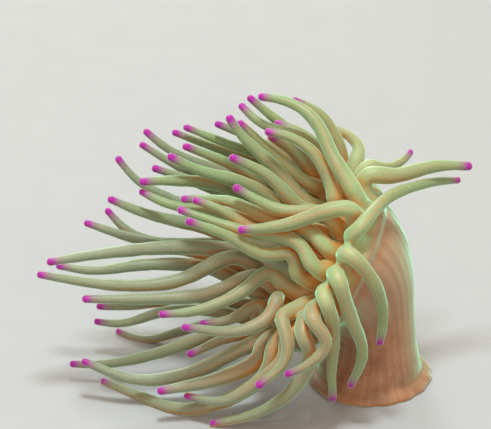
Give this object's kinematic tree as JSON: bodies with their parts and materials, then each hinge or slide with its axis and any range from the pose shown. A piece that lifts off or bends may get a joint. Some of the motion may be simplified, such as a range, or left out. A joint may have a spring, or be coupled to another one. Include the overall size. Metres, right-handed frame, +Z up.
{
  "type": "sea anemone",
  "caption": "Giant Caribbean sea anemone with a bent column and a crown of long tapering tentacles streaming to one side, resting on its pedal disc.",
  "frame": {"origin": "centre of the pedal disc's underside, on the floor", "axes": "+Z up; the crown faces -X and the tentacles stream towards -X; -Y is the side the picture is taken from"},
  "size_m": [0.2603, 0.1552, 0.1787],
  "materials": {
    "flesh": "soft wet translucent flesh: olive green tentacles with magenta tips, orange-brown column"
  },
  "bodies": {
    "root": {"pedal_disc": "flesh", "column": "flesh", "oral_disc": "flesh", "mouth": "flesh", "tentacle_rim_00": "flesh", "tentacle_rim_01": "flesh", "tentacle_rim_02": "flesh", "tentacle_rim_03": "flesh", "tentacle_rim_04": "flesh", "tentacle_rim_05": "flesh", "tentacle_rim_06": "flesh", "tentacle_rim_07": "flesh", "tentacle_rim_08": "flesh", "tentacle_rim_09": "flesh", "tentacle_rim_10": "flesh", "tentacle_rim_11": "flesh", "tentacle_rim_12": "flesh", "tentacle_rim_13": "flesh", "tentacle_rim_14": "flesh", "tentacle_rim_15": "flesh", "tentacle_rim_16": "flesh", "tentacle_rim_17": "flesh", "tentacle_rim_18": "flesh", "tentacle_rim_19": "flesh", "tentacle_rim_20": "flesh", "tentacle_rim_21": "flesh", "tentacle_rim_22": "flesh", "tentacle_rim_23": "flesh", "tentacle_rim_24": "flesh", "tentacle_rim_25": "flesh", "tentacle_rim_26": "flesh", "tentacle_mid_00": "flesh", "tentacle_mid_01": "flesh", "tentacle_mid_02": "flesh", "tentacle_mid_03": "flesh", "tentacle_mid_04": "flesh", "tentacle_mid_05": "flesh", "tentacle_mid_06": "flesh", "tentacle_mid_07": "flesh", "tentacle_mid_08": "flesh", "tentacle_mid_09": "flesh", "tentacle_mid_10": "flesh", "tentacle_mid_11": "flesh", "tentacle_mid_12": "flesh", "tentacle_mid_14": "flesh", "tentacle_mid_15": "flesh", "tentacle_mid_16": "flesh", "tentacle_mid_17": "flesh", "tentacle_heart_00": "flesh", "tentacle_heart_01": "flesh", "tentacle_heart_02": "flesh", "tentacle_heart_03": "flesh", "tentacle_heart_04": "flesh", "tentacle_heart_05": "flesh", "tentacle_heart_06": "flesh", "tentacle_heart_07": "flesh", "tentacle_heart_08": "flesh", "tentacle_heart_09": "flesh", "tentacle_heart_10": "flesh", "tentacle_heart_11": "flesh"}
  },
  "joints": []
}
